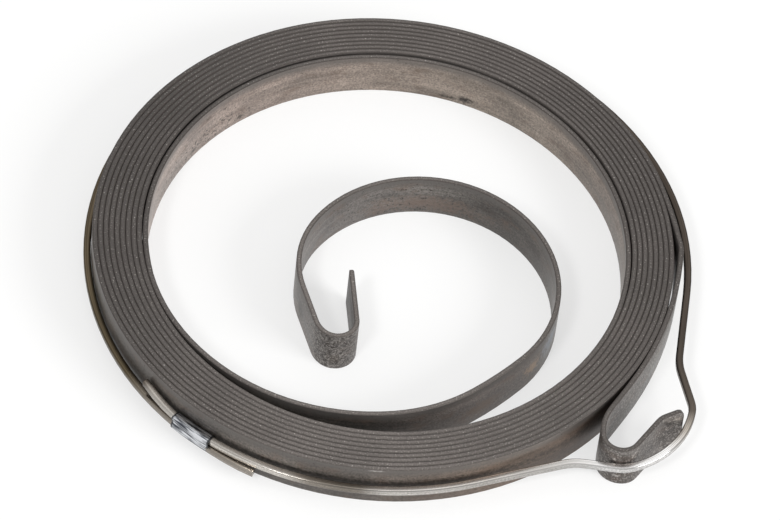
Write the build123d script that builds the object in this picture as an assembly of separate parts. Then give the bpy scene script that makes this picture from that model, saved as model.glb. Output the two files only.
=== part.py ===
from build123d import *
import math
import os

# Return spring of a pull starter, wound up and held in a wire ring, as it is before it is fitted.
# One flat strip of spring steel stands on edge in a tight coil. Its inner end swings across the
# middle to a small hook for the pulley. Its outer end leaves the coil for a wider hook that sits
# in the housing. A square wire runs round the coil and over the outer hook, and a crimped sleeve
# holds its two ends together.
# Millimetres, +Z up. The origin is on the coil's axis, in the plane of the strip's lower edges.

# Strip
strip_width = 6.0
strip_thickness = 0.5
turn_gap = 0.13

# Packed coil, wound outwards clockwise as seen from above
coil_inner_radius = 28.4
packed_half_turns = 19
arm_angle = 200

# Inner end. The arm relaxes out of the coil, so its bends are shares of the coil's inner radius:
# (share, degrees), counted inwards from where it leaves the coil.
arm_bends = [(0.903, 84), (0.73, 28), (1.65, 9.5), (0.552, 189.5), (0.432, 51.5)]
inner_hook_neck = 5.4
inner_hook_shoulder_radius = 3.3
inner_hook_shoulder_angle = 30
inner_hook_radius = 2.3
inner_hook_angle = 138
inner_hook_leg = 7.8

# Outer end. It swings off the coil, bends back on to it sharply and runs out straighter to the
# hook: (share of the radius where it leaves, degrees), counted outwards.
run_out_bends = [(2.514, 5.03), (0.15, 14.19), (1.305, 27.49), (6.807, 1)]
outer_hook_heel_radius = 6.6
outer_hook_heel_angle = 37
outer_hook_radius = 2.15
outer_hook_angle = 140
outer_hook_leg = 4.4
outer_tip_bend_radius = 2.5
outer_tip_bend_angle = 27
outer_tip_length = 2.2
outer_tip_corner = 0.9

# Wire ring, square in section
wire_size = 0.9
wire_chamfer = 0.14
wire_upper_tail_angle = 222
wire_lower_tail_angle = 250
wire_pass_gap = 0.15
wire_side_slack = 0.28

# The ring leaves the coil straight, dips towards the outer hook, wraps it, bows out past the
# hook's tip, turns a corner and comes back to the coil.
wire_leave_angle = 292.5
wire_dip_radius = 6.4
wire_dip_run = 3.6
wire_wrap_radius = 4.7
wire_wrap_angle = 275
wire_hook_clearance = 0.07
wire_bow_radius = 10.8
wire_tip_clearance = 0.35
wire_corner_radius = 3.7
wire_corner_angle = -6
wire_return_radius = 7.4
wire_return_run = 4.45
wire_join_angle = -1.8

# Crimp sleeve round the two ends of the wire
sleeve_angle = 236
sleeve_length = 5.2
sleeve_wall = 0.25
sleeve_corner = 0.35
sleeve_bore_clearance = 0.03
sleeve_seat_gap = 0.05
sleeve_groove_depth = 0.18
sleeve_groove_width = 0.5

# Height of the wire's middle at the sleeve, and how far the ring tilts up towards the outer hook
wire_level = 0.475 * strip_width
ring_tilt_angle = 0.63

pitch = strip_thickness + turn_gap
wire_stand_off = sleeve_seat_gap + sleeve_wall + sleeve_bore_clearance


def polar(radius, degrees):
    angle = math.radians(degrees)
    return Vector(radius * math.cos(angle), radius * math.sin(angle))


# A path is a list of pieces: ("run", start, end) or ("bend", centre, radius, from angle, degrees).
# Degrees are positive for a bend to the left.
def trace(start, heading, moves):
    pieces = []
    for size, degrees in moves:
        if degrees == 0:
            end = start + polar(size, heading)
            pieces.append(("run", start, end))
            start = end
            continue
        side = math.copysign(90, degrees)
        centre = start + polar(size, heading + side)
        pieces.append(("bend", centre, size, heading - side, degrees))
        heading = heading + degrees
        start = centre + polar(size, heading - side)
    return pieces


def backwards(pieces):
    turned = []
    for piece in reversed(pieces):
        if piece[0] == "run":
            turned.append(("run", piece[2], piece[1]))
        else:
            kind, centre, radius, angle, degrees = piece
            turned.append(("bend", centre, radius, angle + degrees, -degrees))
    return turned


# One side of a strip or wire: the path moved to the left by offset
def side_edges(pieces, offset):
    edges = []
    for piece in pieces:
        if piece[0] == "run":
            start, end = piece[1], piece[2]
            along = (end - start).normalized()
            left = Vector(-along.Y, along.X) * offset
            edges.append(Edge.make_line(start + left, end + left))
        else:
            kind, centre, radius, angle, degrees = piece
            moved = radius - offset * math.copysign(1, degrees)
            edges.append(CenterArc(centre, moved, angle, degrees).edge())
    return edges


# The plan of a strip or wire of one thickness, closed square at both ends
def plan_of(pieces, thickness):
    left = side_edges(pieces, thickness / 2)
    right = side_edges(pieces, -thickness / 2)
    first_cap = Edge.make_line(right[0] @ 0, left[0] @ 0)
    last_cap = Edge.make_line(left[-1] @ 1, right[-1] @ 1)
    return Face(Wire(left + [last_cap] + right + [first_cap]))


# Half turns about two centres, a quarter pitch to each side of the axis, make a true even spiral
def coil_centre(half_turn):
    side = -1 if half_turn % 2 == 0 else 1
    return polar(side * pitch / 4, arm_angle)


def coil_radius(half_turn):
    return coil_inner_radius + strip_thickness / 2 + pitch / 4 + half_turn * pitch / 2


def coil_path():
    pieces = []
    for half_turn in range(packed_half_turns):
        angle = arm_angle + 180 * half_turn
        pieces.append(("bend", coil_centre(half_turn), coil_radius(half_turn), angle, -180))
    return pieces


def path_end(pieces):
    kind, centre, radius, angle, degrees = pieces[-1]
    return centre + polar(radius, angle + degrees)


def arm_path():
    start = polar(coil_inner_radius + strip_thickness / 2, arm_angle)
    moves = [(share * coil_inner_radius, degrees) for share, degrees in arm_bends]
    moves.append((inner_hook_neck, 0))
    moves.append((inner_hook_shoulder_radius, inner_hook_shoulder_angle))
    moves.append((inner_hook_radius, inner_hook_angle))
    moves.append((inner_hook_leg, 0))
    return trace(start, arm_angle + 90, moves)


def run_out_path(coil):
    start = path_end(coil)
    heading = arm_angle + 180 * packed_half_turns - 90
    moves = [(share * start.length, -degrees) for share, degrees in run_out_bends]
    moves.append((outer_hook_heel_radius, outer_hook_heel_angle))
    moves.append((outer_hook_radius, outer_hook_angle))
    moves.append((outer_hook_leg, 0))
    moves.append((outer_tip_bend_radius, -outer_tip_bend_angle))
    moves.append((outer_tip_length, 0))
    return trace(start, heading, moves)


def make_strip(arm, coil, run_out):
    plan = plan_of(backwards(arm) + coil + run_out, strip_thickness)
    strip = Solid.extrude(plan, Vector(0, 0, strip_width))
    tip = run_out[-1][2]
    corners = []
    for level in (0, strip_width):
        spot = Vector(tip.X, tip.Y, level)
        corners.append(strip.edges().sort_by_distance(spot)[0])
    return fillet(corners, outer_tip_corner)


# Centre of a circle that lies at given distances from two other centres, left or right of their line
def meeting_centre(first, first_distance, second, second_distance, side):
    line = second - first
    along = (first_distance ** 2 - second_distance ** 2 + line.length ** 2) / (2 * line.length)
    off = math.sqrt(first_distance ** 2 - along ** 2)
    forward = line.normalized()
    left = Vector(-forward.Y, forward.X)
    return first + forward * along + left * (side * off)


def direction(start, end):
    return math.degrees(math.atan2(end.Y - start.Y, end.X - start.X))


# Centre of a circle whose middle slides along a line until another centre is at a given distance
def sliding_centre(start, heading, other, distance):
    forward = polar(1, heading)
    line = other - start
    along = line.dot(forward)
    off = math.sqrt(max(line.length ** 2 - along ** 2, 0))
    return start + forward * (along - math.sqrt(distance ** 2 - off ** 2))


# How far apart the middles of two bends lie that turn opposite ways, with a straight run between
def apart(radius, other_radius, run):
    return math.hypot(radius + other_radius, run)


# A path round circles like a belt's, (centre, radius, +1 for a left bend or -1), with a straight
# run wherever two of them don't touch
def belt_path(circles, first_heading, last_heading):
    headings = [first_heading]
    runs = []
    for (centre, radius, turning), (other, other_radius, other_turning) in zip(circles, circles[1:]):
        step = other_turning * other_radius - turning * radius
        squared = (other - centre).length ** 2 - step ** 2
        run = math.sqrt(squared) if squared > 1e-8 else 0
        runs.append(run)
        headings.append(direction(centre, other) - math.degrees(math.atan2(step, run)))
    headings.append(last_heading)
    pieces = []
    for index, (centre, radius, turning) in enumerate(circles):
        heading = headings[index]
        sweep = turning * ((turning * (headings[index + 1] - heading)) % 360)
        pieces.append(("bend", centre, radius, heading - 90 * turning, sweep))
        if index < len(runs) and runs[index]:
            start = centre + polar(radius, heading + sweep - 90 * turning)
            pieces.append(("run", start, start + polar(runs[index], heading + sweep)))
    return pieces


# The front of the ring follows the last full turn and the rest the outermost one, a little looser
# on the side of the outer hook
def front_circle():
    last = packed_half_turns - 2
    radius = coil_radius(last) + strip_thickness / 2 + wire_stand_off + wire_size / 2
    return coil_centre(last), radius


def back_circle():
    last = packed_half_turns - 1
    radius = coil_radius(last) + strip_thickness / 2 + wire_stand_off + wire_size / 2
    return coil_centre(last) + Vector(wire_side_slack, 0), radius + wire_side_slack


def ring_path(run_out):
    front_centre, front_radius = front_circle()
    back_centre, back_radius = back_circle()
    hook_centre = run_out[-4][1]
    hook_reach = outer_hook_radius + strip_thickness / 2 + wire_hook_clearance + wire_size / 2
    wrap_centre = hook_centre - polar(wire_wrap_radius - hook_reach, wire_wrap_angle)
    tip_start, tip_end = run_out[-1][1:]
    tip_corner = tip_end + polar(strip_thickness / 2, direction(tip_start, tip_end) - 90)
    tip_reach = wire_bow_radius - wire_size / 2 - wire_tip_clearance
    bow_centre = meeting_centre(wrap_centre, wire_bow_radius - wire_wrap_radius, tip_corner, tip_reach, 1)
    corner_centre = bow_centre + polar(wire_bow_radius - wire_corner_radius, wire_corner_angle)
    dip_start = front_centre + polar(front_radius + wire_dip_radius, wire_leave_angle)
    dip_distance = apart(wire_dip_radius, wire_wrap_radius, wire_dip_run)
    dip_centre = sliding_centre(dip_start, wire_leave_angle + 90, wrap_centre, dip_distance)
    return_start = back_centre + polar(back_radius + wire_return_radius, wire_join_angle)
    return_distance = apart(wire_return_radius, wire_corner_radius, wire_return_run)
    return_centre = sliding_centre(return_start, wire_join_angle - 90, corner_centre, return_distance)
    circles = [
        (front_centre, front_radius, 1),
        (dip_centre, wire_dip_radius, -1),
        (wrap_centre, wire_wrap_radius, 1),
        (bow_centre, wire_bow_radius, 1),
        (corner_centre, wire_corner_radius, 1),
        (return_centre, wire_return_radius, -1),
        (back_centre, back_radius, 1),
    ]
    return belt_path(circles, wire_upper_tail_angle + 90, 180)


# The front of the ring and the part round the hook lie in one plane, tilted a little about a line
# through the sleeve. From the back of the coil the wire sinks on a steeper circle, so that its
# lower tail passes under the upper one inside the sleeve.
def make_wire(run_out):
    path = ring_path(run_out)
    front_centre, front_radius = front_circle()
    centre, radius = back_circle()
    pivot_x = front_radius * math.cos(math.radians(sleeve_angle))
    tilt = math.radians(ring_tilt_angle)
    ring_plane = Plane(
        origin=(pivot_x, 0, wire_level),
        x_dir=(math.cos(tilt), 0, math.sin(tilt)),
        z_dir=(-math.sin(tilt), 0, math.cos(tilt)),
    )
    upper = Solid.extrude(plan_of(path, wire_size), Vector(0, 0, wire_size))
    long_edges = [edge for edge in upper.edges() if edge.geom_type == GeomType.CIRCLE]
    upper = chamfer(long_edges, wire_chamfer)
    upper = ring_plane.location * (Pos(-pivot_x, 0, -wire_size / 2) * upper)

    joint = ring_plane.from_local_coords(Vector(centre.X - pivot_x, centre.Y + radius, 0))
    onward = ring_plane.x_dir * -1
    turned = math.radians(sleeve_angle - 90)
    drop = joint.Z - (wire_level - wire_size - wire_pass_gap)
    slope = math.asin((drop / radius - math.sin(tilt) * math.sin(turned)) / (1 - math.cos(turned)))
    inward = Vector(math.sin(slope) * math.tan(tilt), -math.cos(slope), -math.sin(slope)).normalized()
    spin_axis = Axis(joint + inward * radius, onward.cross(inward))
    octagon = chamfer(Rectangle(wire_size, wire_size).vertices(), wire_chamfer)
    section = Plane(origin=joint, x_dir=(0, 1, 0), z_dir=onward * -1) * octagon
    lower = revolve(section, spin_axis, wire_lower_tail_angle - 90)
    return upper + lower


# The sleeve is bent round both wires as one band, pressed in between them along its outer face
def make_sleeve():
    front_centre, front_radius = front_circle()
    back_centre, back_radius = back_circle()
    centre = front_centre
    spread = (back_centre - front_centre).dot(polar(1, sleeve_angle)) + back_radius - front_radius
    bore_width = wire_size + spread + 2 * sleeve_bore_clearance
    bore_height = 2 * wire_size + wire_pass_gap + 2 * sleeve_bore_clearance
    inner_radius = front_radius - wire_size / 2 - sleeve_bore_clearance
    middle = Vector(inner_radius + bore_width / 2, wire_level - (wire_size + wire_pass_gap) / 2)
    half_sweep = math.degrees(sleeve_length / 2 / front_radius)
    sheet = Plane(
        origin=centre, x_dir=polar(1, sleeve_angle - half_sweep), z_dir=polar(1, sleeve_angle - half_sweep - 90)
    )
    outer = RectangleRounded(bore_width + 2 * sleeve_wall, bore_height + 2 * sleeve_wall, sleeve_corner)
    bore = Rectangle(bore_width, bore_height)
    face_x = bore_width / 2 + sleeve_wall
    groove = Polygon(
        (face_x - sleeve_groove_depth, 0),
        (face_x, -sleeve_groove_width / 2),
        (face_x + sleeve_wall, -sleeve_groove_width / 2),
        (face_x + sleeve_wall, sleeve_groove_width / 2),
        (face_x, sleeve_groove_width / 2),
        align=None,
    )
    section = sheet * (Pos(middle.X, middle.Y) * (outer - bore - groove))
    return revolve(section, Axis(centre, Vector(0, 0, 1)), 2 * half_sweep)


os.makedirs("parts", exist_ok=True)

arm = arm_path()
coil = coil_path()
run_out = run_out_path(coil)

strip = make_strip(arm, coil, run_out)
wire = make_wire(run_out)
sleeve = make_sleeve()

export_step(strip, "parts/spring_strip.step")
export_step(wire, "parts/retaining_wire.step")
export_step(sleeve, "parts/crimp_sleeve.step")

for name, piece in (("spring_strip", strip), ("retaining_wire", wire), ("crimp_sleeve", sleeve)):
    size = piece.bounding_box().size
    print(name, round(piece.volume, 2), "mm3", round(size.X, 2), round(size.Y, 2), round(size.Z, 2))
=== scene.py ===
import math

import bmesh
import bpy
from mathutils import Matrix, Vector


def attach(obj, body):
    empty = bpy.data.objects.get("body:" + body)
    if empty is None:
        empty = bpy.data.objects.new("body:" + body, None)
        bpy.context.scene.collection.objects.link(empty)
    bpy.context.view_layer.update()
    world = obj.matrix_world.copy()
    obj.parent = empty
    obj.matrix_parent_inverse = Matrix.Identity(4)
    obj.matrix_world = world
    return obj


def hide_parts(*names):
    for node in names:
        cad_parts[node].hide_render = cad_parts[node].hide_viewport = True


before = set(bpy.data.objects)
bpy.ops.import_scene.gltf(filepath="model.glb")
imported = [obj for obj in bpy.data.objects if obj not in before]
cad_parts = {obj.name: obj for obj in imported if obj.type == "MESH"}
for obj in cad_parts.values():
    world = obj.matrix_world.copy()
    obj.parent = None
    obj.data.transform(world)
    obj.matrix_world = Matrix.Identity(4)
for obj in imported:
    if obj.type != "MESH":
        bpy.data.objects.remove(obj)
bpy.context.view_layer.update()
mm = 0.001
print("frame loaded")


# Hex colours are written as sRGB, and the shaders work in linear light
def colourOf(hexText):
    parts = [int(hexText[i:i + 2], 16) / 255 for i in (0, 2, 4)]
    linear = [p / 12.92 if p <= 0.04045 else ((p + 0.055) / 1.055) ** 2.4 for p in parts]
    return (*linear, 1.0)


def polar(radius, degrees):
    angle = math.radians(degrees)
    return Vector((radius * math.cos(angle), radius * math.sin(angle), 0))


# Adds one node with its settings; each input takes a value or another node's output
def addNode(tree, kind, inputs=None, **settings):
    node = tree.nodes.new(kind)
    for name, value in settings.items():
        setattr(node, name, value)
    for name, value in (inputs or {}).items():
        if isinstance(value, bpy.types.NodeSocket):
            tree.links.new(value, node.inputs[name])
        else:
            node.inputs[name].default_value = value
    return node


def newMaterial(name):
    material = bpy.data.materials.new(name)
    material.use_nodes = True
    material.node_tree.nodes.clear()
    return material, material.node_tree


# A bmesh whose corners note how far along the piece they are, how far round its section, and
# across, 0 in the middle of its thickness and 1 on its faces
def newPiece():
    bm = bmesh.new()
    for layer in ("along", "around", "across"):
        bm.verts.layers.float.new(layer)
    return bm


# A ring of edges standing across the path, its corners rounded, its lying and standing sides cut
def makeRing(bm, thickness, height, rounding, cuts, place, heading):
    t, h = thickness / 2, height / 2
    old = set(bm.verts)
    corners = [bm.verts.new((0, y, z)) for y, z in ((-t, -h), (t, -h), (t, h), (-t, h))]
    bm.faces.new(corners)
    bmesh.ops.bevel(
        bm, geom=corners, offset=rounding, segments=3, profile=0.5, affect="VERTICES", material=-1
    )
    loose = [f for f in bm.faces if not any(v in old for v in f.verts) and len(f.edges) > 4]
    bmesh.ops.delete(bm, geom=loose, context="FACES_ONLY")
    bare = [e for e in bm.edges if not e.link_faces]
    hair = 1e-9  # metres; a smaller difference counts as none
    lying = [e for e in bare if abs(e.verts[0].co.z - e.verts[1].co.z) < hair]
    standing = [e for e in bare if abs(e.verts[0].co.y - e.verts[1].co.y) < hair]
    for edges, count in zip((lying, standing), cuts):
        if count:
            bmesh.ops.subdivide_edges(bm, edges=edges, cuts=count)
    verts = [v for v in bm.verts if v not in old]
    around, across = bm.verts.layers.float["around"], bm.verts.layers.float["across"]
    vert = min(verts, key=lambda v: (v.co.z, abs(v.co.y)))
    edge = max(vert.link_edges, key=lambda e: e.other_vert(vert).co.y)
    ring = []
    distance = 0
    for index in range(len(verts)):
        vert[around] = distance
        vert[across] = abs(vert.co.y) / t
        distance += edge.calc_length()
        ring += [vert, edge]
        vert = edge.other_vert(vert)
        edge = next(e for e in vert.link_edges if e != edge)
    turn = Matrix.Rotation(math.radians(heading), 3, "Z")
    bmesh.ops.rotate(bm, verts=verts, cent=(0, 0, 0), matrix=turn)
    bmesh.ops.translate(bm, verts=verts, vec=place)
    return ring, distance


# Spins a ring on in even steps and writes on each new corner how far along it is
def spinOn(bm, ring, centre, axis, angle, shift, steps, start, length):
    along = bm.verts.layers.float["along"]
    before = len(bm.verts)
    width = sum(isinstance(e, bmesh.types.BMVert) for e in ring)
    made = bmesh.ops.spin(
        bm, geom=ring, cent=centre, axis=axis, dvec=shift, angle=angle, steps=steps, use_merge=False
    )
    bm.verts.ensure_lookup_table()
    for index in range(before, len(bm.verts)):
        step = (index - before) // width + 1
        bm.verts[index][along] = start + length * step / steps
    return made["geom_last"]


pathSteps = {
    "straight": 0.4,
    "offCurve": 0.012,  # how far in mm a bend may cut inside its true curve
    "widestTurn": 9,
}


def bendSteps(radius, degrees):
    widest = 2 * math.degrees(math.acos(1 - pathSteps["offCurve"] * mm / radius))
    return max(2, math.ceil(abs(degrees) / min(widest, pathSteps["widestTurn"])))


# Carries the ring along runs, (length, 0), and bends, (radius, degrees to the left), on the ground
def sweep(bm, ring, place, heading, moves, start, sign):
    for size, degrees in moves:
        if degrees == 0:
            steps = max(2, math.ceil(size / (pathSteps["straight"] * mm)))
            shift = polar(size / steps, heading)
            ring = spinOn(bm, ring, (0, 0, 0), (0, 0, 1), 0, shift, steps, start, sign * size)
            place = place + shift * steps
            start += sign * size
            continue
        side = math.copysign(90, degrees)
        centre = place + polar(size, heading + side)
        length = sign * size * math.radians(abs(degrees))
        ring = spinOn(
            bm, ring, centre, (0, 0, 1), math.radians(degrees), (0, 0, 0),
            bendSteps(size, degrees), start, length,
        )
        heading += degrees
        place = centre + polar(size, heading - side)
        start += length
    return ring, place, heading, start


# UV in metres: U along the piece, V round its section
def writeMap(bm, perimeter):
    uv = bm.loops.layers.uv.new("lengthMap")
    along, around = bm.verts.layers.float["along"], bm.verts.layers.float["around"]
    for face in bm.faces:
        ways = [loop.vert[around] for loop in face.loops]
        wraps = max(ways) - min(ways) > perimeter / 2
        for loop, way in zip(face.loops, ways):
            if wraps and way < perimeter / 2:
                way += perimeter
            loop[uv].uv = (loop.vert[along], way)


def capEnd(bm, ring):
    bmesh.ops.contextual_create(bm, geom=[e for e in ring if isinstance(e, bmesh.types.BMEdge)])


def finishPiece(name, bm, materials, node, smoothAngle=40):
    bmesh.ops.recalc_face_normals(bm, faces=bm.faces)
    mesh = bpy.data.meshes.new(name)
    bm.to_mesh(mesh)
    bm.free()
    for material in materials:
        mesh.materials.append(material)
    mesh.shade_smooth()
    mesh.set_sharp_from_angle(angle=math.radians(smoothAngle))
    piece = bpy.data.objects.new(name, mesh)
    bpy.context.scene.collection.objects.link(piece)
    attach(piece, "root")
    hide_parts(node)
    print(name, "made,", len(mesh.polygons), "faces")


strip = {
    "width": 6.0,
    "pitch": 0.63,
    "wallLine": 0.5,  # thickness in the path's own measures
    "thickness": 0.61,  # with the oil film that half fills the gaps between turns
    "edgeRounding": 0.1,
    "coilInnerRadius": 28.4,
    "halfTurns": 19,
    "armAngle": 200,
    "armBends": [(0.903, 84), (0.73, 28), (1.65, 9.5), (0.552, 189.5), (0.432, 51.5)],
    "innerHook": [(5.4, 0), (3.3, 30), (2.3, 138), (7.1, 0)],
    "runOutBends": [(2.514, 5.03), (0.15, 14.19), (1.305, 27.49), (6.807, 1)],
    "outerHook": [(6.6, 37), (2.15, 140), (4.4, 0), (2.5, -27), (1.45, 0)],
    "outerTip": {"reach": 0.9, "steps": 12, "thinning": 0.12},
    "innerTip": {"reach": 0.7, "steps": 8, "thinning": 0.5},
    "standOff": 0.3,  # the innermost turn stands a little off the others at the back
    "standOffEnd": 108,
    "standOffPower": 0.7,
    "hookLean": 0.35,  # the outer hook's lower half leans out under the wire
    "hookLeanStart": 1929,
    "hookLeanLength": 3,
    "spread": 0.24,  # the turns lie looser on the left, so the outermost one meets the wire
    "spreadAngle": 186,
    "spreadPower": 3,
    "edgeTilt": 0.35,  # faces that look up or down more than this are edge and not face
}


def makeStrip(materials):
    s = strip
    firstRadius = s["coilInnerRadius"] + s["wallLine"] / 2
    coil = [(firstRadius + s["pitch"] * (k / 2 + 0.25), -180) for k in range(s["halfTurns"])]
    arm = [(share * s["coilInnerRadius"], degrees) for share, degrees in s["armBends"]]
    start = polar(firstRadius, s["armAngle"])
    heading = s["armAngle"] - 90
    leave = start.copy()
    turned = heading
    for radius, degrees in coil:
        centre = leave + polar(radius, turned - 90)
        turned += degrees
        leave = centre + polar(radius, turned + 90)
    runOut = [(share * leave.length, -degrees) for share, degrees in s["runOutBends"]]
    outward = [(size * mm, degrees) for size, degrees in coil + runOut + s["outerHook"]]
    inward = [(size * mm, degrees) for size, degrees in arm + s["innerHook"]]

    bm = newPiece()
    middle = s["width"] / 2 * mm
    ring, perimeter = makeRing(
        bm, s["thickness"] * mm, s["width"] * mm, s["edgeRounding"] * mm, (1, 1),
        start * mm + Vector((0, 0, middle)), heading,
    )
    ends = []
    for moves, sign, tip in ((inward, -1, s["innerTip"]), (outward, 1, s["outerTip"])):
        side = heading if sign > 0 else heading + 180
        last, place, way, along = sweep(bm, ring, start * mm, side, moves, 0, sign)
        reach, steps = tip["reach"] * mm, tip["steps"]
        last = spinOn(
            bm, last, (0, 0, 0), (0, 0, 1), 0, polar(reach / steps, way), steps, along, sign * reach
        )
        ends.append((last, place, way, along, sign, reach, tip["thinning"]))
    layer = bm.verts.layers.float["along"]
    for vert in bm.verts:
        outwards = Vector((vert.co.x, vert.co.y, 0)).normalized()
        share = vert[layer] / (s["standOffEnd"] * mm)
        if 0 < share < 1:
            vert.co -= outwards * s["standOff"] * mm * math.sin(math.pi * share) ** s["standOffPower"]
        past = (vert[layer] / mm - s["hookLeanStart"]) / s["hookLeanLength"]
        low = max(0, 1 - vert.co.z / middle)
        lean = s["hookLean"] * min(1, max(0, past)) * low
        fromInside = math.hypot(vert.co.x, vert.co.y) / mm - firstRadius
        loose = min(1, max(0, fromInside / (s["pitch"] * s["halfTurns"] / 2)))
        loose *= max(0, outwards.dot(polar(1, s["spreadAngle"]))) ** s["spreadPower"]
        vert.co += outwards * (lean + s["spread"] * loose) * mm
        # The ends' corners are rounded: the section grows lower towards the very end
        for last, place, way, along, sign, reach, thinning in ends:
            past = sign * (vert[layer] - along)
            if past > 1e-6:
                lower = reach - math.sqrt(max(reach ** 2 - past ** 2, 0))
                centre = place + polar(past, way)
                thin = 1 - thinning * (past / reach) ** 2
                vert.co.x = centre.x + (vert.co.x - centre.x) * thin
                vert.co.y = centre.y + (vert.co.y - centre.y) * thin
                vert.co.z = middle + (vert.co.z - middle) * (1 - lower / middle)
    for end in ends:
        capEnd(bm, end[0])
    for face in bm.faces:
        face.normal_update()
        face.material_index = 1 if abs(face.normal.z) > s["edgeTilt"] else 0
    writeMap(bm, perimeter)
    finishPiece("springStrip", bm, materials, "spring_strip")


wire = {
    "size": 0.87,
    "rounding": 0.17,
    "level": 2.85,
    "tilt": 0.63,
    "tailStart": 223.5,
    "tailEnd": 250,
    "sleeveAngle": 236,
    "passGap": 0.06,
    "frontCentre": (-0.148, -0.0539),
    "frontRadius": 35.1925,
    "backCentre": (0.428, 0.0539),
    "backRadius": 35.7875,
    "bends": [
        (35.1925, 69),
        (10.8272, 0),
        (6.4, -23.7551),
        (3.6, 0),
        (4.7, 25.769),
        (10.8, 59.4861),
        (3.7, 24.227),
        (4.45, 0),
        (7.4, -20.027),
        (9.5139, 0),
        (35.7875, 91.8),
    ],
    "cutTaper": 0.08,  # the cut ends are pinched in a little by the cutters
    "tailSprings": [  # how far the ends spring outwards and up, and over what length
        (0.0, 1.1, 5.2),
        (0.3, -0.14, 13),
    ],
    "tailPower": 1.3,
}


def makeWire(materials):
    w = wire
    bm = newPiece()
    start = Vector((*w["frontCentre"], 0)) + polar(w["frontRadius"], w["tailStart"])
    size = w["size"] * mm
    heading = w["tailStart"] + 90
    ring, perimeter = makeRing(bm, size, size, w["rounding"] * mm, (1, 1), start * mm, heading)
    first = [e for e in ring if isinstance(e, bmesh.types.BMEdge)]
    moves = [(radius * mm, degrees) for radius, degrees in w["bends"]]
    ring, _, _, along = sweep(bm, ring, start * mm, heading, moves, 0, 1)
    pivotX = w["frontRadius"] * math.cos(math.radians(w["sleeveAngle"])) * mm
    tilt = math.radians(w["tilt"])
    lean = Matrix.Rotation(-tilt, 3, "Y")
    bmesh.ops.rotate(bm, verts=bm.verts, cent=(pivotX, 0, 0), matrix=lean)
    bmesh.ops.translate(bm, verts=bm.verts, vec=(0, 0, w["level"] * mm))
    # From the back of the coil the wire sinks on a steeper circle, to pass under its own start
    radius = w["backRadius"] * mm
    joint = Vector((w["backCentre"][0] * mm - pivotX, w["backCentre"][1] * mm + radius, 0))
    joint = lean @ joint + Vector((pivotX, 0, w["level"] * mm))
    onward = lean @ Vector((-1, 0, 0))
    turned = math.radians(w["sleeveAngle"] - 90)
    drop = joint.z - (w["level"] - w["size"] - w["passGap"]) * mm
    slope = math.asin((drop / radius - math.sin(tilt) * math.sin(turned)) / (1 - math.cos(turned)))
    inward = Vector((math.sin(slope) * math.tan(tilt), -math.cos(slope), -math.sin(slope))).normalized()
    axis = onward.cross(inward).normalized()
    turn = w["tailEnd"] - 90
    length = radius * math.radians(turn)
    ring = spinOn(
        bm, ring, joint + inward * radius, axis, math.radians(turn), (0, 0, 0),
        bendSteps(radius, turn), along, length,
    )
    layer = bm.verts.layers.float["along"]
    for vert in bm.verts:
        away = Vector((vert.co.x, vert.co.y, 0)).normalized()
        distances = (vert[layer], along + length - vert[layer])
        for distance, (out, up, reach) in zip(distances, w["tailSprings"]):
            share = max(0, 1 - distance / (reach * mm)) ** w["tailPower"]
            vert.co += (away * out + Vector((0, 0, up))) * mm * share
    for end in (first, [e for e in ring if isinstance(e, bmesh.types.BMEdge)]):
        verts = list({v for e in end for v in e.verts})
        middle = sum((v.co for v in verts), Vector()) / len(verts)
        pinch = 1 - w["cutTaper"]
        bmesh.ops.scale(bm, verts=verts, vec=[pinch] * 3, space=Matrix.Translation(-middle))
        bmesh.ops.contextual_create(bm, geom=end)
    writeMap(bm, perimeter)
    finishPiece("retainingWire", bm, materials, "retaining_wire")


sleeve = {
    "angle": 236.7,
    "length": 5.4,
    "wall": 0.13,
    "clearance": 0.01,
    "corner": 0.3,
    "boreCorner": 0.12,
    "steps": 26,
    "sideCuts": 13,  # both only so fine that the fold below keeps its shape
    "valleyDepth": 0.22,
    "valleyRise": 0.25,
    "valleyWidths": (0.62, 0.16),  # half widths at the first and the last end
    "valleyPower": 0.7,
    "spread": 0.184,  # how far apart the two wires run, seen from above
}


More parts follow.
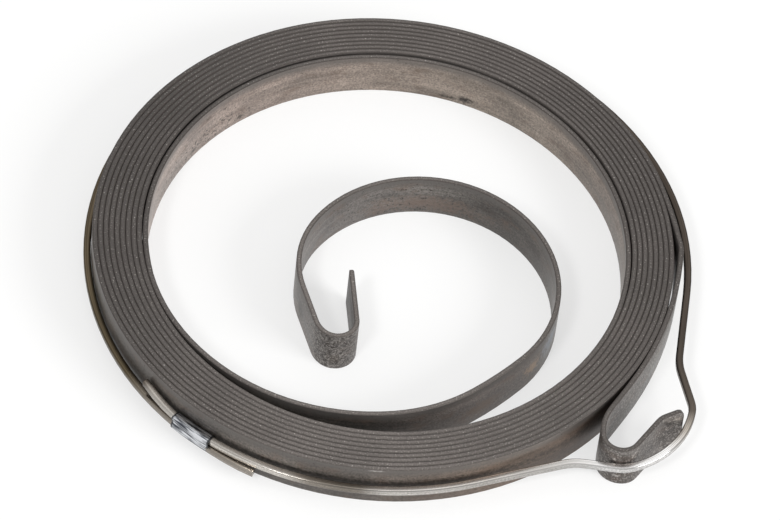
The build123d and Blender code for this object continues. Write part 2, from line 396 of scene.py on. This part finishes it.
def makeSleeve(materials):
    s, w = sleeve, wire
    boreWidth = w["size"] + s["spread"] + 2 * s["clearance"]
    boreHeight = 2 * w["size"] + w["passGap"] + 2 * s["clearance"]
    innerRadius = w["frontRadius"] - w["size"] / 2 - s["clearance"]
    middleRadius = innerRadius + boreWidth / 2
    level = (w["level"] - (w["size"] + w["passGap"]) / 2) * mm
    half = math.degrees(s["length"] / 2 / w["frontRadius"])
    centre = Vector((*w["frontCentre"], 0)) * mm
    place = centre + polar(middleRadius * mm, s["angle"] - half) + Vector((0, 0, level))
    heading = s["angle"] - half + 90
    bm = newPiece()
    ends = []
    for wall, rounding, cuts in ((s["wall"], s["corner"], s["sideCuts"]), (0, s["boreCorner"], 0)):
        width, height = ((size + 2 * wall) * mm for size in (boreWidth, boreHeight))
        ring, perimeter = makeRing(bm, width, height, rounding * mm, (0, cuts), place, heading)
        last = spinOn(
            bm, ring, centre, (0, 0, 1), math.radians(2 * half), (0, 0, 0),
            s["steps"], 0, s["length"] * mm,
        )
        ends += [[e for e in end if isinstance(e, bmesh.types.BMEdge)] for end in (ring, last)]
    bmesh.ops.bridge_loops(bm, edges=ends[0] + ends[2])
    bmesh.ops.bridge_loops(bm, edges=ends[1] + ends[3])
    # The band is pressed in between the two wires, from the middle of its outer wall outwards
    layer, pressed = bm.verts.layers.float["along"], bm.verts.layers.float["across"]
    outer = middleRadius + boreWidth / 2 + s["wall"] / 2
    wide, narrow = s["valleyWidths"]
    for vert in bm.verts:
        vert[pressed] = 0
        away = Vector((vert.co.x - centre.x, vert.co.y - centre.y, 0))
        if away.length < outer * mm:
            continue
        share = vert[layer] / (s["length"] * mm)
        halfWidth = (wide + (narrow - wide) * share ** s["valleyPower"]) * mm
        vert[pressed] = max(0, 1 - abs(vert.co.z - level - s["valleyRise"] * mm) / halfWidth)
        vert.co -= away.normalized() * s["valleyDepth"] * mm * vert[pressed]
    writeMap(bm, perimeter)
    finishPiece("crimpSleeve", bm, materials, "crimp_sleeve", smoothAngle=50)


# The colour at each point along a piece, blended from one listed tone to the next
def toneAlong(tree, along, tones):
    low, high = tones[0][0], tones[-1][0]
    share = addNode(
        tree, "ShaderNodeMapRange", {"Value": along, "From Min": low * mm, "From Max": high * mm}
    ).outputs[0]
    blend = addNode(tree, "ShaderNodeValToRGB", {"Fac": share})
    stops = blend.color_ramp.elements
    stops[0].color = colourOf(tones[0][1])
    stops[-1].color = colourOf(tones[-1][1])
    for spot, shade in tones[1:-1]:
        stops.new((spot - low) / (high - low)).color = colourOf(shade)
    return blend.outputs[0]


# Cold-rolled and tempered spring strip. Its faces are grey-brown with a thin film of oil and oxide:
# fine streaks along the strip, cloudy patches, a few rust-brown blotches and tiny dark pits.
# Its colour also carries painted light: shade and shadow in the tones and marks, and a painted
# highlight and painted glints near the ends
stripFinish = {
    "tones": [  # millimetres along the strip, from the inner hook to the outer one
        # Partly the strip's own colour and partly painted shade: the dark stretch from -37 to -8 mm is
        # painted shade where the arm lies in the coil's shade, the dip at -78 mm is painted shade on
        # the arm's side turned from the lamp, and the brown from 1700 to 1719 mm carries a painted
        # shadow of the run-out, darkest at 1708 mm
        (-138, "282524"), (-132, "33302e"), (-127, "7d7875"), (-121, "6f6a66"), (-102, "6b6663"),
        (-92, "66625e"), (-78, "4b4744"), (-66, "65605b"), (-50, "6a635f"), (-43, "68605b"),
        (-37, "47433f"), (-8, "49433f"), (2, "9c918b"), (32, "8f827a"), (54, "857a71"),
        (62, "8d8278"), (74, "8b8178"), (84, "7c726a"), (112, "79716b"), (130, "6a6561"),
        (1700, "574a41"), (1708, "4a3d35"), (1719, "66584d"), (1740, "5f5a56"), (1775, "57534f"),
        (1850, "5e5b57"), (1905, "6c6965"), (1915, "534f4c"), (1930, "544f4c"), (1941, "57524f"),
    ],
    "patches": {  # length and height in mm of each pattern that follows the strip
        "streak": (25.0, 0.35),
        "cloud": (9.0, 2.6),
        "blotch": (3.2, 1.4),
    },
    "specks": {"pit": 0.4, "grain": 0.24},  # in mm; real ones are finer, these as coarse as shows
    "depths": {"streak": 0.2, "cloud": 0.38, "grain": 0.34},  # how far each lightens and darkens
    "blotchColour": "66554a",
    "pitColour": "332c28",
    "topBandColour": "625e5b",
    "topBandRise": (4.6, 5.5),  # in mm, from where to where the greyer top band sets in
    "spark": "a39e99",
    "glintingEnds": [  # in mm along the strip: painted glints from none to all, and back to few
        (1897, 1904, 1950, 1960),
        (-119, -124, -128, -132),
    ],
    "metallic": 0.55,
    "roughness": (0.35, 0.52),
    # Where the pits crowd together: along and height in mm, their reach both ways, and how much
    "pitAreas": [
        ("leftPits", 24.0, 1.4, 20.0, 2.6, 0.13),
        ("hookPits", -128.0, 2.5, 9.0, 5.0, 0.2),
        ("armPits", -95.0, 2.5, 22.0, 4.0, 0.08),
        ("runOutPits", 1912.0, 3.0, 10.0, 5.0, 0.06),
    ],
    # Marks that are seen one by one, a few of them painted shade or highlight: along and height in mm,
    # their reach both ways, colour, strength
    "marks": [
        ("speckLeftLow", 24.8, 1.05, 1.1, 0.55, "3a322d", 0.9),
        ("speckLeftHigh", 27.5, 4.6, 0.8, 0.4, "453c36", 0.8),
        ("speckMiddle", 33.0, 1.0, 0.9, 0.6, "3f3630", 0.9),
        ("speckSmall", 30.5, 4.3, 0.5, 0.4, "4a403a", 0.8),
        ("darkSpot", 63.0, 1.0, 1.5, 0.9, "241e1a", 0.95),
        ("darkStreak", 60.6, 0.7, 2.2, 0.4, "2e2722", 0.9),
        ("paleArmRight", -64.0, 2.8, 7.0, 3.6, "8a8683", 0.6),
        ("blueTint", -61.5, 3.4, 3.6, 2.6, "8b929c", 0.7),
        ("tanPatch", -57.2, 2.8, 2.4, 1.6, "a08a74", 0.8),
        ("rustArmLow", -49.0, 2.2, 5.0, 1.8, "6d5a4b", 0.7),
        ("rustArmTop", -92.0, 1.8, 12.0, 2.2, "75645a", 0.6),
        ("darkArmTop", -84.0, 3.2, 3.0, 1.3, "443d39", 0.55),
        ("darkArmRight", -76.0, 3.0, 3.2, 1.8, "3f3936", 0.6),
        ("hookStain", -119.2, 2.4, 1.5, 2.2, "37322f", 0.6),
        ("hookSpeck", -123.6, 3.4, 0.35, 0.6, "332e2b", 0.6),
        # Painted shade of a small dent on the outer hook
        ("dentShade", 1937.9, 3.2, 1.1, 1.5, "443c37", 0.75),
        # Painted highlight on the top of the outer tip
        ("tipHighlight", 1940.0, 4.6, 1.0, 0.9, "a8a39e", 0.4),
        ("brightNick", 1930.7, 1.4, 0.5, 0.3, "b8b4af", 0.7),
        ("topScratch", 1736.6, 5.75, 1.3, 0.2, "b3afab", 0.7),
        # Painted shadow: the wire's contact shadow on the outer turn just above it
        ("wireContactShadow", 1736.0, 3.25, 60.0, 1.25, "241e1a", 0.72),
        ("hookSpecks", -127.0, 1.8, 1.6, 1.4, "50473f", 0.6),
        ("bendShade", 1931.5, 4.6, 1.6, 1.2, "3f3630", 0.6),
    ],
}


# How far a point is from a mark's middle, 1 at its reach along the strip and up it
def awayFrom(tree, place, name, spot, level, reach, rise):
    middle = (spot * mm, level * mm, 0)
    offset = addNode(
        tree, "ShaderNodeVectorMath", {0: place, 1: middle}, operation="SUBTRACT"
    ).outputs[0]
    stretched = addNode(
        tree, "ShaderNodeVectorMath", {0: offset, 1: (1 / (reach * mm), 1 / (rise * mm), 0)},
        operation="MULTIPLY",
    ).outputs[0]
    return addNode(
        tree, "ShaderNodeVectorMath", {0: stretched}, operation="LENGTH", name=name
    ).outputs["Value"]


def makeFaceSteel():
    f = stripFinish
    material, tree = newMaterial("temperedStripFace")
    uvMap = addNode(tree, "ShaderNodeUVMap", uv_map="lengthMap").outputs[0]
    along = addNode(tree, "ShaderNodeSeparateXYZ", {0: uvMap}).outputs[0]
    coords = addNode(tree, "ShaderNodeTexCoord").outputs["Object"]
    height = addNode(tree, "ShaderNodeSeparateXYZ", {0: coords}).outputs[2]
    place = addNode(tree, "ShaderNodeCombineXYZ", {0: along, 1: height}).outputs[0]

    patterns = {}
    for name, (length, rise) in f["patches"].items():
        scaled = addNode(
            tree, "ShaderNodeMapping",
            {"Vector": place, "Scale": (1 / (length * mm), 1 / (rise * mm), 1)},
        ).outputs[0]
        patterns[name] = addNode(
            tree, "ShaderNodeTexNoise",
            {"Vector": scaled, "Scale": 1.0, "Detail": 4.0, "Roughness": 0.6},
        ).outputs[0]
    for name, size in f["specks"].items():
        patterns[name] = addNode(
            tree, "ShaderNodeTexNoise",
            {"Vector": coords, "Scale": 1 / (size * mm), "Detail": 2.0, "Roughness": 0.55},
        ).outputs[0]
    pitted = patterns["pit"]
    for *area, extra in f["pitAreas"]:
        more = addNode(
            tree, "ShaderNodeMapRange",
            {"Value": awayFrom(tree, place, *area), "From Min": 1.0, "From Max": 0.4,
             "To Min": 0.0, "To Max": extra},
        ).outputs[0]
        pitted = addNode(tree, "ShaderNodeMath", {0: pitted, 1: more}, operation="ADD").outputs[0]

    colour = toneAlong(tree, along, f["tones"])
    for name, depth in f["depths"].items():
        factor = addNode(
            tree, "ShaderNodeMapRange",
            {"Value": patterns[name], "From Min": 0.3, "From Max": 0.7,
             "To Min": 1 - depth, "To Max": 1 + depth},
        ).outputs[0]
        colour = addNode(
            tree, "ShaderNodeVectorMath", {0: colour, "Scale": factor}, operation="SCALE"
        ).outputs[0]
    # Blotches, then the greyer band at the top of each face, then the pits
    low, high = f["topBandRise"]
    for value, start, full, most, shade in (
        (patterns["blotch"], 0.52, 0.68, 0.5, f["blotchColour"]),
        (height, low * mm, high * mm, 0.72, f["topBandColour"]),
        (pitted, 0.7, 0.76, 0.8, f["pitColour"]),
    ):
        mask = addNode(
            tree, "ShaderNodeMapRange",
            {"Value": value, "From Min": start, "From Max": full, "To Min": 0.0, "To Max": most},
        ).outputs[0]
        colour = addNode(
            tree, "ShaderNodeMix", {0: mask, 6: colour, 7: colourOf(shade)}, data_type="RGBA"
        ).outputs[2]
    # The marks are broken up by the pits' pattern, so that none has a clean outline
    for *mark, shade, strength in f["marks"]:
        ragged = addNode(
            tree, "ShaderNodeMath", {0: patterns["pit"], 1: 1.6, 2: awayFrom(tree, place, *mark)},
            operation="MULTIPLY_ADD",
        ).outputs[0]
        mask = addNode(
            tree, "ShaderNodeMapRange",
            {"Value": ragged, "From Min": 1.55, "From Max": 0.95, "To Min": 0.0, "To Max": strength},
        ).outputs[0]
        colour = addNode(
            tree, "ShaderNodeMix", {0: mask, 6: colour, 7: colourOf(shade)}, data_type="RGBA"
        ).outputs[2]
    # Painted glints on the grain of the bent ends
    sparks = addNode(
        tree, "ShaderNodeMapRange",
        {"Value": patterns["grain"], "From Min": 0.52, "From Max": 0.62, "To Min": 0.0, "To Max": 0.5},
    ).outputs[0]
    for start, full, fading, end in f["glintingEnds"]:
        share = sparks
        for first, last, least, most in ((start, full, 0.0, 1.0), (fading, end, 1.0, 0.35)):
            near = addNode(
                tree, "ShaderNodeMapRange",
                {"Value": along, "From Min": first * mm, "From Max": last * mm,
                 "To Min": least, "To Max": most},
            ).outputs[0]
            share = addNode(
                tree, "ShaderNodeMath", {0: share, 1: near}, operation="MULTIPLY"
            ).outputs[0]
        colour = addNode(
            tree, "ShaderNodeMix", {0: share, 6: colour, 7: colourOf(f["spark"])}, data_type="RGBA"
        ).outputs[2]

    roughness = addNode(
        tree, "ShaderNodeMapRange",
        {"Value": patterns["cloud"], "From Min": 0.3, "From Max": 0.7,
         "To Min": f["roughness"][0], "To Max": f["roughness"][1]},
    ).outputs[0]
    relief = addNode(
        tree, "ShaderNodeMath", {0: patterns["streak"], 1: patterns["grain"]}, operation="ADD"
    ).outputs[0]
    bump = addNode(
        tree, "ShaderNodeBump", {"Height": relief, "Distance": 0.012 * mm, "Strength": 0.6}
    ).outputs[0]
    shader = addNode(
        tree, "ShaderNodeBsdfPrincipled",
        {"Base Color": colour, "Roughness": roughness, "Metallic": f["metallic"], "Normal": bump},
    ).outputs[0]
    addNode(tree, "ShaderNodeOutputMaterial", {"Surface": shader})
    return material


# The strip's edges were slit and deburred: matt, darker than the faces, with grains that glint, and
# painted shade with oil and grime in the rounded corners where the turns meet
edgeFinish = {
    "colour": "6c6662",
    "cloud": 6.0,
    "grain": 0.2,  # both in mm; real grain is finer, this is as coarse as shows
    "glint": "c4beb8",
    "grooveShadeAndDirt": "332c28",
    "grooveShadeAndDirtShare": (0.68, 0.95),  # at the front and at the back
    "sideShade": 0.62,
    "leftShade": 0.82,
    "backShade": 0.84,
    "metallic": 0.35,
    "roughness": 0.55,
}


def makeEdgeSteel():
    f = edgeFinish
    material, tree = newMaterial("slitStripEdge")
    coords = addNode(tree, "ShaderNodeTexCoord").outputs["Object"]
    right, back, _ = addNode(tree, "ShaderNodeSeparateXYZ", {0: coords}).outputs
    aside = addNode(tree, "ShaderNodeMath", {0: right}, operation="ABSOLUTE").outputs[0]
    across = addNode(tree, "ShaderNodeAttribute", attribute_name="across").outputs["Fac"]
    cloud = addNode(
        tree, "ShaderNodeTexNoise",
        {"Vector": coords, "Scale": 1 / (f["cloud"] * mm), "Detail": 3.0},
    ).outputs[0]
    grain = addNode(
        tree, "ShaderNodeTexNoise",
        {"Vector": coords, "Scale": 1 / (f["grain"] * mm), "Detail": 2.0, "Roughness": 0.6},
    ).outputs[0]
    # Clouds and grain, and then painted shade, darker at the sides, more so on the left, and at the
    # back of the coil
    colour = colourOf(f["colour"])[:3]
    for value, start, end, first, last in (
        (cloud, 0.3, 0.7, 0.88, 1.12),
        (grain, 0.32, 0.68, 0.7, 1.3),
        (aside, 8 * mm, 30 * mm, 1.0, f["sideShade"]),
        (right, -10 * mm, -30 * mm, 1.0, f["leftShade"]),
        (back, -10 * mm, 24 * mm, 1.0, f["backShade"]),
    ):
        factor = addNode(
            tree, "ShaderNodeMapRange",
            {"Value": value, "From Min": start, "From Max": end, "To Min": first, "To Max": last},
        ).outputs[0]
        colour = addNode(
            tree, "ShaderNodeVectorMath", {0: colour, "Scale": factor}, operation="SCALE"
        ).outputs[0]
    darkestGrooveShade = addNode(
        tree, "ShaderNodeMapRange",
        {"Value": back, "From Min": -15 * mm, "From Max": 15 * mm,
         "To Min": f["grooveShadeAndDirtShare"][0], "To Max": f["grooveShadeAndDirtShare"][1]},
    ).outputs[0]
    # Painted glints on the grain, then painted shade with oil and grime in the rounded corners where
    # the turns meet, deepest at the back
    for value, start, full, most, shade in (
        (grain, 0.635, 0.72, 0.8, f["glint"]),
        (across, 0.25, 0.92, darkestGrooveShade, f["grooveShadeAndDirt"]),
    ):
        mask = addNode(
            tree, "ShaderNodeMapRange",
            {"Value": value, "From Min": start, "From Max": full, "To Min": 0.0, "To Max": most},
        ).outputs[0]
        colour = addNode(
            tree, "ShaderNodeMix", {0: mask, 6: colour, 7: colourOf(shade)}, data_type="RGBA"
        ).outputs[2]
    bump = addNode(
        tree, "ShaderNodeBump", {"Height": grain, "Distance": 0.03 * mm, "Strength": 0.5}
    ).outputs[0]
    shader = addNode(
        tree, "ShaderNodeBsdfPrincipled",
        {"Base Color": colour, "Roughness": f["roughness"], "Metallic": f["metallic"], "Normal": bump},
    ).outputs[0]
    addNode(tree, "ShaderNodeOutputMaterial", {"Surface": shader})
    return material


# Drawn steel wire. The die leaves fine lines along it, so lights smear across the wire; along the front
# it is near-white, partly bare steel and partly painted highlight, and away from it it has a brown-grey
# film.
wireFinish = {
    "tones": [  # millimetres along the wire from its upper end
        # From 32 to 66 mm, along the front and round the outer hook, the near-white is partly bright
        # drawn steel and partly painted highlight; beyond it lies the wire's brown-grey film
        (0, "6f655b"), (1.5, "d8d1c8"), (5, "eae4dc"), (20, "eae4dc"), (23, "a1998f"),
        (29, "9d958b"), (32, "f4efe9"), (44, "f0ebe5"), (51, "ebe7e2"), (58, "fbf9f7"),
        (66, "fbf9f7"), (70, "b9b1a7"), (73, "625a52"), (84, "554d46"), (112, "544c45"),
        (175, "584e42"), (205, "625747"), (228, "6d624e"), (234, "b1a89d"), (249, "b9b1a7"),
    ],
    "line": (30.0, 0.16),  # length and width in mm; real lines are finer, these are as coarse as shows
    "cloud": (7.0, 1.1),
    "speckle": 0.22,
    "cornerShade": 0.5,
    "sideShade": (0.6, 0.82),  # of its outer side, and how far the speckle there lifts it
    "roughness": 0.22,
}


def makeDrawnWire():
    f, w = wireFinish, wire
    material, tree = newMaterial("drawnWire")
    uvMap = addNode(tree, "ShaderNodeUVMap", uv_map="lengthMap").outputs[0]
    along, around, _ = addNode(tree, "ShaderNodeSeparateXYZ", {0: uvMap}).outputs
    patterns = {}
    for name, detail in (("line", 1.0), ("cloud", 3.0)):
        length, width = f[name]
        scaled = addNode(
            tree, "ShaderNodeMapping",
            {"Vector": uvMap, "Scale": (1 / (length * mm), 1 / (width * mm), 1)},
        ).outputs[0]
        patterns[name] = addNode(
            tree, "ShaderNodeTexNoise", {"Vector": scaled, "Scale": 1.0, "Detail": detail}
        ).outputs[0]
    speckle = addNode(
        tree, "ShaderNodeTexNoise",
        {"Vector": uvMap, "Scale": 1 / (f["speckle"] * mm), "Detail": 1.0},
    ).outputs[0]
    # Quarter turns round the section: whole numbers in the middle of its sides, the outer one at 3
    quarter = (w["size"] - 2 * w["rounding"] + w["rounding"] * math.pi / 2) * mm
    turns = addNode(tree, "ShaderNodeMath", {0: around, 1: quarter}, operation="DIVIDE").outputs[0]
    part = addNode(tree, "ShaderNodeMath", {0: turns}, operation="FRACT").outputs[0]
    fromPlaces = []
    for value, spot in ((part, 0.5), (turns, 3.0)):
        offset = addNode(tree, "ShaderNodeMath", {0: value, 1: spot}, operation="SUBTRACT").outputs[0]
        fromPlaces.append(addNode(tree, "ShaderNodeMath", {0: offset}, operation="ABSOLUTE").outputs[0])
    fromCorner, fromOuter = fromPlaces
    # Painted shade on the outer side: darker than the top, and speckled
    paintedSideShade = addNode(
        tree, "ShaderNodeMapRange",
        {"Value": speckle, "From Min": 0.42, "From Max": 0.62,
         "To Min": f["sideShade"][0], "To Max": f["sideShade"][1]},
    ).outputs[0]
    # Clouds, drawing lines, painted shade along the four rounded corners, and painted shade on the
    # outer side
    colour = toneAlong(tree, along, f["tones"])
    for value, start, end, first, last in (
        (patterns["cloud"], 0.3, 0.7, 0.82, 1.12),
        (patterns["line"], 0.35, 0.65, 0.66, 1.12),
        (fromCorner, 0.07, 0.2, f["cornerShade"], 1.0),
        (fromOuter, 0.3, 0.45, paintedSideShade, 1.0),
    ):
        factor = addNode(
            tree, "ShaderNodeMapRange",
            {"Value": value, "From Min": start, "From Max": end, "To Min": first, "To Max": last},
        ).outputs[0]
        colour = addNode(
            tree, "ShaderNodeVectorMath", {0: colour, "Scale": factor}, operation="SCALE"
        ).outputs[0]
    bump = addNode(
        tree, "ShaderNodeBump", {"Height": patterns["line"], "Distance": 0.006 * mm, "Strength": 0.25}
    ).outputs[0]
    tangent = addNode(
        tree, "ShaderNodeTangent", direction_type="UV_MAP", uv_map="lengthMap"
    ).outputs[0]
    shader = addNode(
        tree, "ShaderNodeBsdfPrincipled",
        {"Base Color": colour, "Roughness": f["roughness"], "Metallic": 1.0, "Normal": bump,
         "Anisotropic": 0.8, "Anisotropic Rotation": 0.25, "Tangent": tangent},
    ).outputs[0]
    addNode(tree, "ShaderNodeOutputMaterial", {"Surface": shader})
    return material


# Thin zinc-plated sheet, bluish and bright. The crimping tool has drawn it into dark and bright
# streaks along the wires; painted shade makes the fold between them nearly black, and the two cut ends
# are nearly black too.
sleeveFinish = {
    "plating": "d4d6da",
    "scuff": "42464d",
    # Nearly black: painted shade in the fold, also laid on the two cut ends
    "crease": "202226",
    "streak": (2.6, 0.3),
    "endLine": 0.16,
    "roughness": 0.26,
}


def makeCrimpSheet():
    f = sleeveFinish
    material, tree = newMaterial("platedCrimpSheet")
    uvMap = addNode(tree, "ShaderNodeUVMap", uv_map="lengthMap").outputs[0]
    along = addNode(tree, "ShaderNodeSeparateXYZ", {0: uvMap}).outputs[0]
    pressed = addNode(tree, "ShaderNodeAttribute", attribute_name="across").outputs["Fac"]
    length, width = f["streak"]
    scaled = addNode(
        tree, "ShaderNodeMapping",
        {"Vector": uvMap, "Scale": (1 / (length * mm), 1 / (width * mm), 1)},
    ).outputs[0]
    streaks = addNode(
        tree, "ShaderNodeTexNoise", {"Vector": scaled, "Scale": 1.0, "Detail": 3.0}
    ).outputs[0]
    half = sleeve["length"] / 2 * mm
    line = f["endLine"] * mm
    offset = addNode(tree, "ShaderNodeMath", {0: along, 1: half}, operation="SUBTRACT").outputs[0]
    far = addNode(tree, "ShaderNodeMath", {0: offset}, operation="ABSOLUTE").outputs[0]
    # How scuffed, how deep in the painted shade of the fold and how near a cut end
    shares = []
    for value, start, full, most in (
        (streaks, 0.42, 0.6, 1.0),
        (pressed, 0.25, 0.8, 0.9),
        (far, half - line * 1.5, half - line, 0.85),
    ):
        shares.append(addNode(
            tree, "ShaderNodeMapRange",
            {"Value": value, "From Min": start, "From Max": full, "To Min": 0.0, "To Max": most},
        ).outputs[0])
    scuffed, paintedFoldShade, atEnd = shares
    dark = addNode(tree, "ShaderNodeMath", {0: paintedFoldShade, 1: atEnd}, operation="MAXIMUM").outputs[0]
    colour = colourOf(f["plating"])
    for share, shade in ((scuffed, f["scuff"]), (dark, f["crease"])):
        colour = addNode(
            tree, "ShaderNodeMix", {0: share, 6: colour, 7: colourOf(shade)}, data_type="RGBA"
        ).outputs[2]
    bump = addNode(
        tree, "ShaderNodeBump", {"Height": streaks, "Distance": 0.04 * mm, "Strength": 0.5}
    ).outputs[0]
    shader = addNode(
        tree, "ShaderNodeBsdfPrincipled",
        {"Base Color": colour, "Roughness": f["roughness"], "Metallic": 1.0, "Normal": bump},
    ).outputs[0]
    addNode(tree, "ShaderNodeOutputMaterial", {"Surface": shader})
    return material


makeStrip([makeFaceSteel(), makeEdgeSteel()])
makeWire([makeDrawnWire()])
makeSleeve([makeCrimpSheet()])

studio = {
    "floor": "fafaf9",
    "floorReach": 1.5,  # metres from its middle to its sides
    "floorGlow": 0.6,  # how far the camera sees the floor as plain white; the rest keeps the shadow
    "worldStrength": 0.62,
    "lamps": [  # place, width, height in metres, watts
        ("rightSoftbox", (0.7, -0.35, 0.4), 0.45, 0.3, 5.5),
        ("frontSoftbox", (-0.28, -0.55, 0.75), 0.16, 0.16, 2.6),
    ],
    "cameraTarget": (0.73, 1.49, 0.0),  # this and the distance in mm, the two angles in degrees
    "cameraDistance": 598.3,
    "cameraElevation": 50.65,
    "cameraRoll": 6.937,
    "lens": 230.77,
}


# 1 for the rays that carry the white surroundings to the eye, also by way of metal or glass
def seenDirectly(tree):
    rays = addNode(tree, "ShaderNodeLightPath").outputs
    share = rays["Is Camera Ray"]
    for name in ("Is Glossy Ray", "Is Transmission Ray"):
        share = addNode(
            tree, "ShaderNodeMath", {0: share, 1: rays[name]}, operation="MAXIMUM"
        ).outputs[0]
    return share


def makeFloor():
    bm = bmesh.new()
    bmesh.ops.create_grid(bm, x_segments=1, y_segments=1, size=studio["floorReach"])
    mesh = bpy.data.meshes.new("floor")
    bm.to_mesh(mesh)
    bm.free()
    floor = bpy.data.objects.new("floor", mesh)
    bpy.context.scene.collection.objects.link(floor)
    material, tree = newMaterial("paleTable")
    surface = addNode(
        tree, "ShaderNodeBsdfPrincipled", {"Base Color": colourOf(studio["floor"]), "Roughness": 0.8}
    ).outputs[0]
    glow = addNode(tree, "ShaderNodeEmission", {"Color": (1, 1, 1, 1), "Strength": 1.0}).outputs[0]
    share = addNode(
        tree, "ShaderNodeMath", {0: seenDirectly(tree), 1: studio["floorGlow"]}, operation="MULTIPLY"
    ).outputs[0]
    both = addNode(tree, "ShaderNodeMixShader", {0: share, 1: surface, 2: glow}).outputs[0]
    addNode(tree, "ShaderNodeOutputMaterial", {"Surface": both})
    mesh.materials.append(material)


def lightStudio():
    world = bpy.data.worlds.new("studio")
    bpy.context.scene.world = world
    world.use_nodes = True
    tree = world.node_tree
    tree.nodes.clear()
    light, white = (
        addNode(tree, "ShaderNodeBackground", {"Color": (1, 1, 1, 1), "Strength": strength}).outputs[0]
        for strength in (studio["worldStrength"], 1.0)
    )
    both = addNode(tree, "ShaderNodeMixShader", {0: seenDirectly(tree), 1: light, 2: white}).outputs[0]
    addNode(tree, "ShaderNodeOutputWorld", {"Surface": both})
    for name, place, width, height, watts in studio["lamps"]:
        data = bpy.data.lights.new(name, "AREA")
        data.shape = "RECTANGLE"
        data.size, data.size_y = width, height
        data.energy = watts
        lamp = bpy.data.objects.new(name, data)
        lamp.location = place
        lamp.rotation_euler = (-Vector(place)).to_track_quat("-Z", "Y").to_euler()
        bpy.context.scene.collection.objects.link(lamp)


def placeCamera():
    tilt = math.radians(studio["cameraElevation"])
    back = Vector((0, -math.cos(tilt), math.sin(tilt)))
    right = Vector((1, 0, 0))
    up = back.cross(right)
    roll = math.radians(studio["cameraRoll"])
    localX = right * math.cos(roll) + up * math.sin(roll)
    localY = up * math.cos(roll) - right * math.sin(roll)
    spot = (Vector(studio["cameraTarget"]) + back * studio["cameraDistance"]) * mm
    data = bpy.data.cameras.new("camera")
    data.lens = studio["lens"]
    data.sensor_width = 36
    data.clip_start = 0.01
    camera = bpy.data.objects.new("camera", data)
    turned = Matrix((localX, localY, back)).transposed().to_4x4()
    camera.matrix_world = Matrix.Translation(spot) @ turned
    bpy.context.scene.collection.objects.link(camera)
    bpy.context.scene.camera = camera


makeFloor()
lightStudio()
placeCamera()
bpy.context.scene.view_settings.view_transform = "Standard"
print("studio set")
